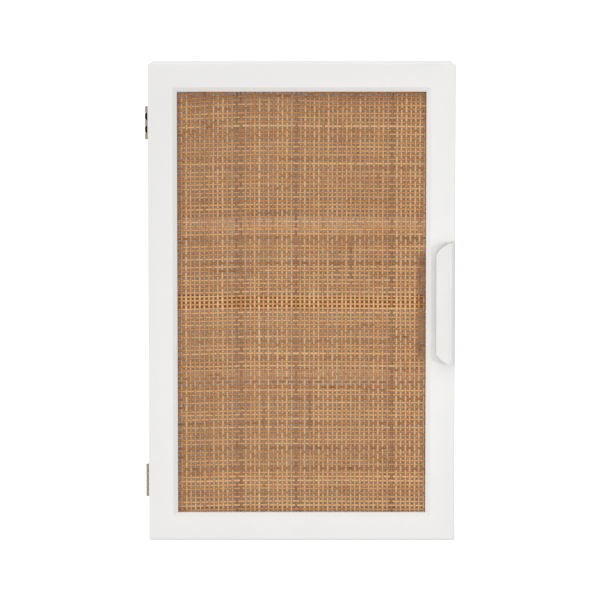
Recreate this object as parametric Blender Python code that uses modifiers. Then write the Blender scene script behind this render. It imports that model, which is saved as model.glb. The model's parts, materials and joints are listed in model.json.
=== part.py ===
"""Small wall cabinet with one framed door, a woven cane panel and an edge pull.

Metres, +Z up, front facing -Y. The origin is the centre of the carcass underside.
"""

import bmesh
import bpy
from math import acos, asin, cos, degrees, pi, radians, sin
from mathutils import Matrix, Vector

# Carcass
CARCASS_WIDTH = 0.321
CARCASS_HEIGHT = 0.500
CARCASS_DEPTH = 0.129
BOARD = 0.015
BACK_THICKNESS = 0.006
BACK_REBATE = 0.007
SHELF_SETBACK = 0.005
SHELF_SIDE_PLAY = 0.0008
EDGE_ROUND = 0.0008

# Door
DOOR_WIDTH = 0.321
DOOR_HEIGHT = 0.499
DOOR_THICKNESS = 0.018
DOOR_LIFT = 0.001
DOOR_GAP = 0.003
STILE_WIDTH = 0.0305
RAIL_WIDTH = 0.0285
CHAMFER_DEPTH = 0.0036
FLAT_SHARE = 0.836
REBATE_SHARE = 0.738
CANE_DEPTH = 0.007
CANE_THICKNESS = 0.0015
MITRE_GAP = 0.0002
STRIP_INSET = 0.0002
MID_RAIL_HEIGHT = 0.015

# Pull
PULL_HEIGHT = 0.128
PULL_WIDTH = 0.0205
PULL_PROJECTION = 0.011
PULL_LIP = 0.0035
PULL_FOOT = 0.008
PULL_END_RADIUS = 0.0225
PULL_OUTER_ROUND = 0.0075
PULL_INNER_ROUND = 0.003
PULL_LIP_ROUND = 0.0012
PULL_SCREW_SPACING = 0.096
PULL_SCREW_LENGTH = 0.024
PULL_LIP_STEPS = 3

# Hinges
HINGE_LENGTH = 0.034
HINGE_FROM_END = 0.0615
HINGE_OUTSET = 0.0016
KNUCKLES = 5
KNUCKLE_RADIUS = 0.0019
BORE_RADIUS = 0.0013
HINGE_PIN_RADIUS = 0.0010
LEAF_THICKNESS = 0.0009
LEAF_REACH = 0.0135
LEAF_SCREW_X = 0.0085
LEAF_SCREW_SPACING = 0.020
HINGE_SCREW_LENGTH = 0.012
KNUCKLE_PLAY = 0.0006

# Small hardware
SHELF_PIN_RADIUS = 0.0025
SHELF_PIN_LENGTH = 0.015
SHELF_PIN_IN = 0.0077
SHELF_PIN_FROM_FRONT = 0.025
SHELF_PIN_FROM_BACK = 0.030
HANGER_SIZE = (0.020, 0.0015, 0.040)
HANGER_SPACING = 0.230
HANGER_FROM_TOP = 0.055
HANGER_SCREW_SPACING = 0.030
HANGER_SCREW_LENGTH = 0.0046
NAIL_HOLE_RADIUS = 0.0045
NAIL_SLOT_RADIUS = 0.0022
NAIL_ROOM = 0.002
POCKET_FLOOR = 0.001
CATCH_SIZE = (0.012, 0.016, 0.044)
MAGNET_SIZE = (0.006, 0.010, 0.022)
MAGNET_PROUD = 0.0014
CATCH_SCREW_SPACING = 0.034
CATCH_SCREW_LENGTH = 0.020
STRIKE_SIZE = (0.022, 0.001, 0.030)
STRIKE_SCREW_FROM_EDGE = 0.010
STRIKE_SCREW_LENGTH = 0.010
STRIKE_MARGIN = 0.004
BUMPER_RADIUS = 0.004
BUMPER_THICKNESS = 0.0024
BUMPER_FROM_END = 0.030
SCREW_SHANK_RADIUS = 0.0010
SCREW_HEAD_RADIUS = 0.0021

GAP = 0.0003
TURN_STEPS = 12
ARC_STEPS = 8
WELD = 0.00001
THROUGH = 0.002

HALF_WIDTH = CARCASS_WIDTH / 2
CARCASS_FRONT = -CARCASS_DEPTH / 2
CARCASS_BACK = CARCASS_DEPTH / 2
INNER_X = HALF_WIDTH - BOARD
SIDE_FOOT = BOARD + GAP
SIDE_TOP = CARCASS_HEIGHT - BOARD - GAP
DOOR_BACK = CARCASS_FRONT - DOOR_GAP
DOOR_FRONT = DOOR_BACK - DOOR_THICKNESS
DOOR_MID = DOOR_LIFT + DOOR_HEIGHT / 2
HINGE_X = -HALF_WIDTH - HINGE_OUTSET
HINGE_Y = CARCASS_FRONT - DOOR_GAP / 2
UPPER_HINGE_Z = CARCASS_HEIGHT - HINGE_FROM_END
LOWER_HINGE_Z = HINGE_FROM_END
COMPARTMENT = (CARCASS_HEIGHT - 4 * BOARD) / 3
LOWER_SHELF_Z = BOARD + COMPARTMENT
UPPER_SHELF_Z = LOWER_SHELF_Z + BOARD + COMPARTMENT


def clear_scene():
    for old in list(bpy.data.objects):
        bpy.data.objects.remove(old)


def new_collection(name):
    made = bpy.data.collections.new(name)
    bpy.context.scene.collection.children.link(made)
    return made


def finish(name, colour, roughness, metallic=0.0):
    made = bpy.data.materials.new(name)
    made.use_nodes = True
    shader = made.node_tree.nodes["Principled BSDF"]
    shader.inputs["Base Color"].default_value = (*colour, 1.0)
    shader.inputs["Roughness"].default_value = roughness
    shader.inputs["Metallic"].default_value = metallic
    return made


def add_object(name, mesh, centre, material, collection):
    made = bpy.data.objects.new(name, mesh)
    made.location = centre
    collection.objects.link(made)
    if material is not None:
        mesh.materials.append(material)
    return made


def box_mesh(name, size):
    bm = bmesh.new()
    bmesh.ops.create_cube(bm, size=1.0)
    bmesh.ops.scale(bm, vec=Vector(size), verts=bm.verts)
    mesh = bpy.data.meshes.new(name)
    bm.to_mesh(mesh)
    bm.free()
    return mesh


def box(name, low, high, material, edge=0.0):
    """A block between two opposite corners, with softened edges where edge is given."""
    size = [b - a for a, b in zip(low, high)]
    centre = [(a + b) / 2 for a, b in zip(low, high)]
    made = add_object(name, box_mesh(name, size), centre, material, PARTS)
    if edge > 0:
        soften(made, edge)
    return made


def soften(target, width):
    bevel = target.modifiers.new("soft_edges", "BEVEL")
    bevel.width = width
    bevel.segments = 2
    bevel.limit_method = "ANGLE"


def prism_mesh(name, outline, height):
    """A flat outline in XY, extruded evenly to both sides of its plane along Z."""
    bm = bmesh.new()
    ring = [bm.verts.new((x, y, -height / 2)) for x, y in outline]
    face = bm.faces.new(ring)
    swept = bmesh.ops.extrude_face_region(bm, geom=[face])
    top = [item for item in swept["geom"] if isinstance(item, bmesh.types.BMVert)]
    bmesh.ops.translate(bm, verts=top, vec=(0, 0, height))
    bmesh.ops.recalc_face_normals(bm, faces=bm.faces)
    mesh = bpy.data.meshes.new(name)
    bm.to_mesh(mesh)
    bm.free()
    return mesh


def arc(centre, radius, start, end, steps=ARC_STEPS):
    """Points along a circular arc, angles in degrees."""
    points = []
    for i in range(steps + 1):
        angle = radians(start + (end - start) * i / steps)
        points.append((centre[0] + radius * cos(angle), centre[1] + radius * sin(angle)))
    return points


def make_cutter(made):
    made.hide_render = True
    made.display_type = "WIRE"
    return made


def box_cutter(name, low, high):
    size = [b - a for a, b in zip(low, high)]
    centre = [(a + b) / 2 for a, b in zip(low, high)]
    return make_cutter(add_object(name, box_mesh(name, size), centre, None, CUTTERS))


def drill(name, centre, direction, depth, radius, end_radius=None):
    """A round cutter starting at centre and running along direction."""
    bm = bmesh.new()
    bmesh.ops.create_cone(
        bm,
        cap_ends=True,
        segments=TURN_STEPS,
        radius1=radius,
        radius2=radius if end_radius is None else end_radius,
        depth=depth,
    )
    bmesh.ops.translate(bm, verts=bm.verts, vec=(0, 0, depth / 2))
    mesh = bpy.data.meshes.new(name)
    bm.to_mesh(mesh)
    bm.free()
    made = make_cutter(add_object(name, mesh, centre, None, CUTTERS))
    made.rotation_euler = aim(direction)
    return made


def aim(direction):
    return Vector(direction).to_track_quat("Z", "Y").to_euler()


def cut(target, cutter, operation="DIFFERENCE"):
    boolean = target.modifiers.new("cut_" + cutter.name, "BOOLEAN")
    boolean.operation = operation
    boolean.solver = "EXACT"
    boolean.object = cutter


def turned(name, profile, centre, direction, material):
    """A lathe-turned piece; profile runs (radius, height) from the top down."""
    mesh = bpy.data.meshes.new(name)
    points = [(radius, 0.0, height) for radius, height in profile]
    edges = [(i, i + 1) for i in range(len(points) - 1)]
    mesh.from_pydata(points, edges, [])
    made = add_object(name, mesh, centre, material, PARTS)
    made.rotation_euler = aim(direction)
    screw = made.modifiers.new("turn", "SCREW")
    screw.axis = "Z"
    screw.angle = 2 * pi
    screw.steps = TURN_STEPS
    screw.render_steps = TURN_STEPS
    screw.use_merge_vertices = True
    screw.merge_threshold = WELD
    screw.use_smooth_shade = True
    return made


def countersunk_screw(name, seat, inward, length, holes, parent=None):
    """A small screw with its flat head flush at seat, and its clearance in every board it crosses."""
    back = -Vector(inward)
    head_depth = SCREW_HEAD_RADIUS - SCREW_SHANK_RADIUS
    profile = [
        (0.0, 0.0),
        (SCREW_HEAD_RADIUS, 0.0),
        (SCREW_SHANK_RADIUS, -head_depth),
        (SCREW_SHANK_RADIUS, -length + SCREW_SHANK_RADIUS),
        (0.0, -length),
    ]
    made = turned(name, profile, seat, back, METAL)
    start = Vector(seat) + back * GAP
    sink = drill(
        name + "_sink",
        start,
        inward,
        head_depth + 2 * GAP,
        SCREW_HEAD_RADIUS + 2 * GAP,
        SCREW_SHANK_RADIUS,
    )
    shank = drill(
        name + "_hole", start, inward, length + 2 * GAP, SCREW_SHANK_RADIUS + GAP
    )
    for board in holes:
        cut(board, shank)
    cut(holes[0], sink)
    if parent is not None:
        attach(made, parent)
    return made


def attach(child, parent):
    child.parent = parent
    child.matrix_parent_inverse = Matrix.Translation(-parent.location)


def carcass_boards():
    """Top and bottom run full width; the sides stand between them; the back sits in a rear rebate."""
    rear_step = box_cutter(
        "rear_rebate",
        (-HALF_WIDTH + BACK_REBATE, CARCASS_BACK - BACK_THICKNESS - GAP, BACK_REBATE),
        (HALF_WIDTH - BACK_REBATE, CARCASS_BACK + THROUGH, CARCASS_HEIGHT - BACK_REBATE),
    )
    boards = {}
    for name, foot in (("bottom_panel", 0.0), ("top_panel", CARCASS_HEIGHT - BOARD)):
        boards[name] = box(
            name,
            (-HALF_WIDTH, CARCASS_FRONT, foot),
            (HALF_WIDTH, CARCASS_BACK, foot + BOARD),
            WHITE_PAINT,
            EDGE_ROUND,
        )
    for name, side in (("side_panel_left", -1), ("side_panel_right", 1)):
        faces = sorted((side * INNER_X, side * HALF_WIDTH))
        boards[name] = box(
            name,
            (faces[0], CARCASS_FRONT, SIDE_FOOT),
            (faces[1], CARCASS_BACK, SIDE_TOP),
            WHITE_PAINT,
            EDGE_ROUND,
        )
    for board in boards.values():
        cut(board, rear_step)
    boards["back_panel"] = box(
        "back_panel",
        (-HALF_WIDTH + BACK_REBATE + GAP, CARCASS_BACK - BACK_THICKNESS, BACK_REBATE + GAP),
        (HALF_WIDTH - BACK_REBATE - GAP, CARCASS_BACK, CARCASS_HEIGHT - BACK_REBATE - GAP),
        WHITE_PAINT,
    )
    return boards


def shelf(name, underside):
    reach = INNER_X - SHELF_SIDE_PLAY
    return box(
        name,
        (-reach, CARCASS_FRONT + SHELF_SETBACK, underside),
        (reach, CARCASS_BACK - BACK_THICKNESS - 2 * GAP, underside + BOARD),
        WHITE_PAINT,
        EDGE_ROUND,
    )


def shelf_pins(shelf_name, underside, boards):
    """Four plain pegs under each shelf, half in the sides."""
    height = underside - GAP - SHELF_PIN_RADIUS
    tip = SHELF_PIN_RADIUS / 4
    profile = [
        (0.0, 0.0),
        (SHELF_PIN_RADIUS - tip, 0.0),
        (SHELF_PIN_RADIUS, -tip),
        (SHELF_PIN_RADIUS, -SHELF_PIN_LENGTH + tip),
        (SHELF_PIN_RADIUS - tip, -SHELF_PIN_LENGTH),
        (0.0, -SHELF_PIN_LENGTH),
    ]
    rows = (
        ("front", CARCASS_FRONT + SHELF_PIN_FROM_FRONT),
        ("rear", CARCASS_BACK - SHELF_PIN_FROM_BACK),
    )
    for side_name, side in (("left", -1), ("right", 1)):
        board = boards["side_panel_" + side_name]
        for row_name, y in rows:
            name = f"{shelf_name}_pin_{side_name}_{row_name}"
            inner_tip = (side * (INNER_X + SHELF_PIN_IN - SHELF_PIN_LENGTH), y, height)
            turned(name, profile, inner_tip, (-side, 0, 0), METAL)
            mouth = (side * (INNER_X - THROUGH), y, height)
            hole = drill(
                name + "_hole",
                mouth,
                (side, 0, 0),
                SHELF_PIN_IN + THROUGH + GAP,
                SHELF_PIN_RADIUS + GAP,
            )
            cut(board, hole)


def hanger(name, x, back_panel):
    """A keyhole plate let into the rear of the back panel, with room behind it for a nail head."""
    width, thickness, height = HANGER_SIZE
    middle = CARCASS_HEIGHT - HANGER_FROM_TOP
    face = CARCASS_BACK - GAP
    plate = box(
        name,
        (x - width / 2, face - thickness, middle - height / 2),
        (x + width / 2, face, middle + height / 2),
        METAL,
    )
    recess = box_cutter(
        name + "_recess",
        (x - width / 2 - GAP, face - thickness - GAP, middle - height / 2 - GAP),
        (x + width / 2 + GAP, CARCASS_BACK + THROUGH, middle + height / 2 + GAP),
    )
    cut(back_panel, recess)
    pocket_depth = BACK_THICKNESS - thickness - POCKET_FLOOR
    pocket = box_cutter(
        name + "_pocket",
        (
            x - NAIL_HOLE_RADIUS,
            face - thickness - pocket_depth + GAP,
            middle - NAIL_HOLE_RADIUS - NAIL_ROOM,
        ),
        (x + NAIL_HOLE_RADIUS, face, middle + NAIL_HOLE_RADIUS + NAIL_ROOM),
    )
    cut(back_panel, pocket)
    front = face - thickness - THROUGH
    depth = thickness + 2 * THROUGH
    entry = (x, front, middle - NAIL_ROOM)
    cut(plate, drill(name + "_entry", entry, (0, 1, 0), depth, NAIL_HOLE_RADIUS - GAP))
    slot = box_cutter(
        name + "_slot",
        (x - NAIL_SLOT_RADIUS, front, middle - NAIL_ROOM),
        (x + NAIL_SLOT_RADIUS, front + depth, middle + NAIL_HOLE_RADIUS + NAIL_ROOM),
    )
    cut(plate, slot)
    for label, side in (("lower", -1), ("upper", 1)):
        seat = (x, face, middle + side * HANGER_SCREW_SPACING / 2)
        countersunk_screw(
            f"{name}_screw_{label}", seat, (0, -1, 0), HANGER_SCREW_LENGTH, [plate, back_panel]
        )


def magnetic_catch(side_panel):
    """A plastic body on the right side panel, holding a magnet that stands a little proud."""
    width, depth, height = CATCH_SIZE
    inner = INNER_X - GAP
    body = box(
        "catch_body",
        (inner - width, CARCASS_FRONT, DOOR_MID - height / 2),
        (inner, CARCASS_FRONT + depth, DOOR_MID + height / 2),
        PLASTIC,
        EDGE_ROUND,
    )
    magnet_x = inner - width / 2
    magnet_width, magnet_depth, magnet_height = MAGNET_SIZE
    low = Vector(
        (
            magnet_x - magnet_width / 2,
            CARCASS_FRONT - MAGNET_PROUD,
            DOOR_MID - magnet_height / 2,
        )
    )
    high = low + Vector((magnet_width, magnet_depth, magnet_height))
    box("catch_magnet", low, high, STEEL)
    around = Vector((GAP, GAP, GAP))
    cut(body, box_cutter("catch_magnet_seat", low - around, high + around))
    for label, side in (("lower", -1), ("upper", 1)):
        seat = (
            inner - width,
            CARCASS_FRONT + depth / 2,
            DOOR_MID + side * CATCH_SCREW_SPACING / 2,
        )
        countersunk_screw(
            "catch_screw_" + label, seat, (1, 0, 0), CATCH_SCREW_LENGTH, [body, side_panel]
        )


def bumpers():
    """Two soft discs on the front edge of the right side panel."""
    profile = [
        (0.0, 0.0),
        (BUMPER_RADIUS, 0.0),
        (BUMPER_RADIUS, -BUMPER_THICKNESS),
        (0.0, -BUMPER_THICKNESS),
    ]
    rows = (
        ("bumper_lower", BUMPER_FROM_END),
        ("bumper_upper", CARCASS_HEIGHT - BUMPER_FROM_END),
    )
    for name, z in rows:
        face = (HALF_WIDTH - BOARD / 2, CARCASS_FRONT - GAP - BUMPER_THICKNESS, z)
        turned(name, profile, face, (0, -1, 0), RUBBER)


def frame_member(name, length, width, cross_width, spin, centre):
    """One mitred member: its section is swept along X, its outer edge up, its face to -Y.

    Every corner of the section is cut back in proportion to its distance from the outer edge,
    so that the ends lie on the plane from the outer corner to the inner corner.
    """
    shares = (
        (0.0, 0.0),
        (FLAT_SHARE, 0.0),
        (1.0, CHAMFER_DEPTH),
        (1.0, CANE_DEPTH),
        (REBATE_SHARE, CANE_DEPTH),
        (REBATE_SHARE, DOOR_THICKNESS),
        (0.0, DOOR_THICKNESS),
    )
    bm = bmesh.new()
    section = [bm.verts.new((0, depth, -share * width)) for share, depth in shares]
    face = bm.faces.new(section)
    swept = bmesh.ops.extrude_face_region(bm, geom=[face])
    far = [item for item in swept["geom"] if isinstance(item, bmesh.types.BMVert)]
    for vertex in section:
        vertex.co.x = -(length / 2 - MITRE_GAP + vertex.co.z * cross_width / width)
    for vertex in far:
        vertex.co.x = length / 2 - MITRE_GAP + vertex.co.z * cross_width / width
    bmesh.ops.recalc_face_normals(bm, faces=bm.faces)
    mesh = bpy.data.meshes.new(name)
    bm.to_mesh(mesh)
    bm.free()
    made = add_object(name, mesh, centre, WHITE_PAINT, PARTS)
    made.rotation_euler = (0, radians(spin), 0)
    return made


def door_frame(axis):
    half_w = DOOR_WIDTH / 2
    half_h = DOOR_HEIGHT / 2
    members = (
        ("door_top_rail", DOOR_WIDTH, RAIL_WIDTH, STILE_WIDTH, 0, (0, half_h)),
        ("door_right_stile", DOOR_HEIGHT, STILE_WIDTH, RAIL_WIDTH, 90, (half_w, 0)),
        ("door_bottom_rail", DOOR_WIDTH, RAIL_WIDTH, STILE_WIDTH, 180, (0, -half_h)),
        ("door_left_stile", DOOR_HEIGHT, STILE_WIDTH, RAIL_WIDTH, 270, (-half_w, 0)),
    )
    made = {}
    for name, length, width, cross_width, spin, (x, z) in members:
        centre = (x, DOOR_FRONT, DOOR_MID + z)
        made[name] = frame_member(name, length, width, cross_width, spin, centre)
        attach(made[name], axis)
    return made


def door_infill(axis):
    """The cane sheet, the loose strips that hold it in the rebate, and the bar across its back."""
    reach_x = DOOR_WIDTH / 2 - STILE_WIDTH * REBATE_SHARE - GAP
    reach_z = DOOR_HEIGHT / 2 - RAIL_WIDTH * REBATE_SHARE - GAP
    cane_front = DOOR_FRONT + CANE_DEPTH + GAP
    cane_back = cane_front + CANE_THICKNESS
    strip_front = cane_back + GAP
    strip_back = DOOR_BACK - STRIP_INSET
    side_strip = STILE_WIDTH * (1 - REBATE_SHARE) - GAP
    flat_strip = RAIL_WIDTH * (1 - REBATE_SHARE) - GAP
    bottom = DOOR_MID - reach_z
    top = DOOR_MID + reach_z
    sheet = box("cane_panel", (-reach_x, cane_front, bottom), (reach_x, cane_back, top), CANE)
    blocks = (
        ("cane_strip_bottom", -reach_x, reach_x, bottom, bottom + flat_strip),
        ("cane_strip_top", -reach_x, reach_x, top - flat_strip, top),
        (
            "cane_strip_left",
            -reach_x,
            side_strip - reach_x,
            bottom + flat_strip + GAP,
            top - flat_strip - GAP,
        ),
        (
            "cane_strip_right",
            reach_x - side_strip,
            reach_x,
            bottom + flat_strip + GAP,
            top - flat_strip - GAP,
        ),
        (
            "door_mid_rail",
            side_strip + GAP - reach_x,
            reach_x - side_strip - GAP,
            DOOR_MID - MID_RAIL_HEIGHT / 2,
            DOOR_MID + MID_RAIL_HEIGHT / 2,
        ),
    )
    attach(sheet, axis)
    for name, x0, x1, z0, z1 in blocks:
        finish_used = BARE_WOOD if name == "door_mid_rail" else WHITE_PAINT
        attach(box(name, (x0, strip_front, z0), (x1, strip_back, z1), finish_used), axis)


def pull_section():
    """Outline in XY of the pull: a foot against the stile and a lip reaching back over it."""
    left = -PULL_WIDTH
    front = -PULL_PROJECTION
    lip_back = front + PULL_LIP
    foot_left = -PULL_FOOT
    outline = [(0.0, -GAP), (foot_left, -GAP)]
    inner = (foot_left - PULL_INNER_ROUND, lip_back + PULL_INNER_ROUND)
    outline += arc(inner, PULL_INNER_ROUND, 0, -90, ARC_STEPS // 2)
    tip = left + PULL_LIP_ROUND
    outline += arc((tip, lip_back - PULL_LIP_ROUND), PULL_LIP_ROUND, 90, 180, PULL_LIP_STEPS)
    outline += arc((tip, front + PULL_LIP_ROUND), PULL_LIP_ROUND, 180, 270, PULL_LIP_STEPS)
    outline += arc((-PULL_OUTER_ROUND, front + PULL_OUTER_ROUND), PULL_OUTER_ROUND, 270, 360)
    return outline


def pull(axis, stile):
    """The section swept up the stile, its ends trimmed to arcs centred on the door's edge."""
    centre = (DOOR_WIDTH / 2, DOOR_FRONT, DOOR_MID)
    made = add_object(
        "pull", prism_mesh("pull", pull_section(), PULL_HEIGHT), centre, WHITE_PAINT, PARTS
    )
    half = PULL_HEIGHT / 2
    radius = PULL_END_RADIUS
    corner = degrees(acos(-PULL_WIDTH / radius))
    moon = [(THROUGH, -half), (THROUGH, half)]
    moon += arc((0, half - radius), radius, 90, corner, 2 * ARC_STEPS)
    moon += arc((0, radius - half), radius, 360 - corner, 270, 2 * ARC_STEPS)
    mesh = prism_mesh("pull_moon", moon, 4 * PULL_PROJECTION)
    trimmer = make_cutter(add_object("pull_moon", mesh, centre, None, CUTTERS))
    trimmer.rotation_euler = (pi / 2, 0, 0)
    cut(made, trimmer, "INTERSECT")
    attach(made, axis)
    screw_x = centre[0] - PULL_FOOT / 2
    for label, side in (("lower", -1), ("upper", 1)):
        seat = (screw_x, DOOR_BACK, DOOR_MID + side * PULL_SCREW_SPACING / 2)
        countersunk_screw(
            "pull_screw_" + label, seat, (0, -1, 0), PULL_SCREW_LENGTH, [stile, made], axis
        )


def strike_plate(axis, stile):
    """A steel plate on the back of the right stile, facing the magnet."""
    width, thickness, height = STRIKE_SIZE
    screw_x = DOOR_WIDTH / 2 - STRIKE_SCREW_FROM_EDGE
    right = screw_x + STRIKE_MARGIN
    plate = box(
        "strike_plate",
        (right - width, DOOR_BACK + GAP, DOOR_MID - height / 2),
        (right, DOOR_BACK + GAP + thickness, DOOR_MID + height / 2),
        METAL,
    )
    attach(plate, axis)
    seat = (screw_x, DOOR_BACK + GAP + thickness, DOOR_MID)
    holes = [plate, stile]
    countersunk_screw("strike_screw", seat, (0, -1, 0), STRIKE_SCREW_LENGTH, holes, axis)


def leaf_section(side):
    """Outline in XY of one leaf with its rolled barrel, centred on the hinge axis.

    side is 1 for the leaf on the carcass and -1 for the leaf on the door.
    """
    near = DOOR_GAP / 2 - GAP - LEAF_THICKNESS
    far = near + LEAF_THICKNESS
    start = degrees(asin(far / KNUCKLE_RADIUS))
    end = 360 + degrees(asin(near / KNUCKLE_RADIUS))
    outline = [(LEAF_REACH, near), (LEAF_REACH, far)]
    outline += arc((0, 0), KNUCKLE_RADIUS, start, end, 2 * TURN_STEPS)
    return [(x, side * y) for x, y in outline]


def hinge_leaf(name, z, side, own_knuckles):
    """A leaf whose barrel is notched wherever the other leaf has a knuckle."""
    centre = (HINGE_X, HINGE_Y, z)
    mesh = prism_mesh(name, leaf_section(side), HINGE_LENGTH)
    made = add_object(name, mesh, centre, METAL, PARTS)
    knuckle = HINGE_LENGTH / KNUCKLES
    clearance = KNUCKLE_RADIUS + GAP
    for i in range(KNUCKLES):
        if i in own_knuckles:
            continue
        low = z - HINGE_LENGTH / 2 + i * knuckle - KNUCKLE_PLAY / 2
        high = low + knuckle + KNUCKLE_PLAY
        if i == 0:
            low -= THROUGH
        if i == KNUCKLES - 1:
            high += THROUGH
        notch = box_cutter(
            f"{name}_notch_{i}",
            (HINGE_X - 2 * KNUCKLE_RADIUS, HINGE_Y - 2 * KNUCKLE_RADIUS, low),
            (HINGE_X + clearance, HINGE_Y + 2 * KNUCKLE_RADIUS, high),
        )
        cut(made, notch)
    start = (HINGE_X, HINGE_Y, z - HINGE_LENGTH / 2 - THROUGH)
    bore = drill(name + "_bore", start, (0, 0, 1), HINGE_LENGTH + 2 * THROUGH, BORE_RADIUS)
    cut(made, bore)
    return made


def hinge(label, z, side_panel, stile, axis):
    """A small butt hinge: leaf on the carcass edge, leaf on the back of the stile, and the pin."""
    carcass_leaf = hinge_leaf(f"hinge_{label}_carcass_leaf", z, 1, range(0, KNUCKLES, 2))
    door_leaf = hinge_leaf(f"hinge_{label}_door_leaf", z, -1, range(1, KNUCKLES, 2))
    attach(door_leaf, axis)
    dome = HINGE_PIN_RADIUS / 2
    half = HINGE_LENGTH / 2 + dome
    profile = [
        (0.0, half),
        (HINGE_PIN_RADIUS - dome / 2, half - dome / 4),
        (HINGE_PIN_RADIUS, half - dome),
        (HINGE_PIN_RADIUS, dome - half),
        (HINGE_PIN_RADIUS - dome / 2, dome / 4 - half),
        (0.0, -half),
    ]
    turned(f"hinge_{label}_pin", profile, (HINGE_X, HINGE_Y, z), (0, 0, 1), METAL)
    near = DOOR_GAP / 2 - GAP - LEAF_THICKNESS
    screw_x = HINGE_X + LEAF_SCREW_X
    for row, offset in (("lower", -LEAF_SCREW_SPACING / 2), ("upper", LEAF_SCREW_SPACING / 2)):
        countersunk_screw(
            f"hinge_{label}_carcass_screw_{row}",
            (screw_x, HINGE_Y + near, z + offset),
            (0, 1, 0),
            HINGE_SCREW_LENGTH,
            [carcass_leaf, side_panel],
        )
        countersunk_screw(
            f"hinge_{label}_door_screw_{row}",
            (screw_x, HINGE_Y - near, z + offset),
            (0, -1, 0),
            HINGE_SCREW_LENGTH,
            [door_leaf, stile],
            axis,
        )


def build():
    boards = carcass_boards()
    for name, underside in (("lower_shelf", LOWER_SHELF_Z), ("upper_shelf", UPPER_SHELF_Z)):
        shelf(name, underside)
        shelf_pins(name, underside, boards)
    for name, side in (("hanger_left", -1), ("hanger_right", 1)):
        hanger(name, side * HANGER_SPACING / 2, boards["back_panel"])
    magnetic_catch(boards["side_panel_right"])
    bumpers()
    axis = bpy.data.objects.new("door_axis", None)
    axis.location = (HINGE_X, HINGE_Y, 0)
    PARTS.objects.link(axis)
    members = door_frame(axis)
    door_infill(axis)
    pull(axis, members["door_right_stile"])
    strike_plate(axis, members["door_right_stile"])
    for label, z in (("lower", LOWER_HINGE_Z), ("upper", UPPER_HINGE_Z)):
        hinge(label, z, boards["side_panel_left"], members["door_left_stile"], axis)


clear_scene()
PARTS = new_collection("cane_wall_cabinet")
CUTTERS = new_collection("cutters")
WHITE_PAINT = finish("white_paint", (0.80, 0.79, 0.77), 0.45)
CANE = finish("cane", (0.56, 0.29, 0.12), 0.55)
BARE_WOOD = finish("bare_wood", (0.40, 0.22, 0.12), 0.60)
METAL = finish("nickel", (0.60, 0.52, 0.44), 0.35, 1.0)
STEEL = finish("magnet_steel", (0.45, 0.45, 0.46), 0.40, 1.0)
PLASTIC = finish("white_plastic", (0.82, 0.82, 0.80), 0.40)
RUBBER = finish("bumper_rubber", (0.75, 0.75, 0.73), 0.60)
build()
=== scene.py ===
"""Looks of the small white wall cabinet with a woven cane door."""

import json
import math
import random

import bmesh
import bpy
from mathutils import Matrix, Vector


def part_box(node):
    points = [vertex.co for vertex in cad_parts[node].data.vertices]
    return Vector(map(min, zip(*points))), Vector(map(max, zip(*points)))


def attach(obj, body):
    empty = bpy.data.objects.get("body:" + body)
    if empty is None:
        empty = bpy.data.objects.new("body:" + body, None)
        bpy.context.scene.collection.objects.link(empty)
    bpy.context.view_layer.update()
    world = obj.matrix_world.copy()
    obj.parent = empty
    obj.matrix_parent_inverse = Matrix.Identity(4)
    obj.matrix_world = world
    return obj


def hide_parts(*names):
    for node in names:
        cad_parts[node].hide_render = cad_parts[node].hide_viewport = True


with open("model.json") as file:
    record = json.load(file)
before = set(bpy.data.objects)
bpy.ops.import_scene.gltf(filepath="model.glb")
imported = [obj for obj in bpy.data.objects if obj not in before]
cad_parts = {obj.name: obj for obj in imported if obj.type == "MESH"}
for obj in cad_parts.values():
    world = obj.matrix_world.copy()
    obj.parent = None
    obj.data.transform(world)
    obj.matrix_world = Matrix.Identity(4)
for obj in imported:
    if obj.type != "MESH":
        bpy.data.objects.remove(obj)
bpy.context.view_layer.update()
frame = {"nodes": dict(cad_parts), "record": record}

SEED = 11

# Vertices closer than this are one; edges sharper than these angles, in degrees, stay sharp
WELD = 0.000001
USUAL_SMOOTH = 35
FRAME_SMOOTH = 30
STRAND_SMOOTH = 60
TURNED_SMOOTH = 40
BAKED_SMOOTH = 38

# Door frame section, as shares of a member's width and as depths from its face
FLAT_SHARE = 0.836
REBATE_SHARE = 0.738
CHAMFER_DEPTH = 0.0036
CANE_DEPTH = 0.007
FACE_ROUND = 0.0014
CHAMFER_ROUND = 0.0009
INNER_ROUND = 0.0007
LIP_ROUND = 0.0002
REBATE_ROUND = 0.0004
BACK_ROUND = FACE_ROUND / 2
ROUND_STEPS = 5

# Weave, made of warps (upright) and wefts (across)
WARP_PITCH = 0.00479
WEFT_PITCH = 0.00434
WARP_WIDTH = 0.00236
WEFT_WIDTH = 0.00216
STRAND_THICKNESS = 0.00055
WEAVE_RISE = 0.00031
WEAVE_MARGIN = 0.0040
FIRST_WARP = 0.0046
WIDTH_SPREAD = 0.07
SWELL_SPREAD = 0.03
SWELL_STEP = 6

# Drifts of the weave: how far strands stray, and how slow shifts change, with the number of
# crossings from one random offset to the next
WARP_JITTER = 0.00016
WEFT_JITTER = 0.00021
WARP_DRIFT_STEP = 14
WARP_DRIFT = 0.00014
WEFT_DRIFT_STEP = 9
WEFT_DRIFT = 0.00012
SWAY_STEP = 26
SWAY = 0.0005
SAG_STEP = 18
SAG = 0.0004
TOP_RIPPLE_STEP = 8
TOP_RIPPLE = 0.0009
TOP_RIPPLE_ROWS = 5

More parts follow.
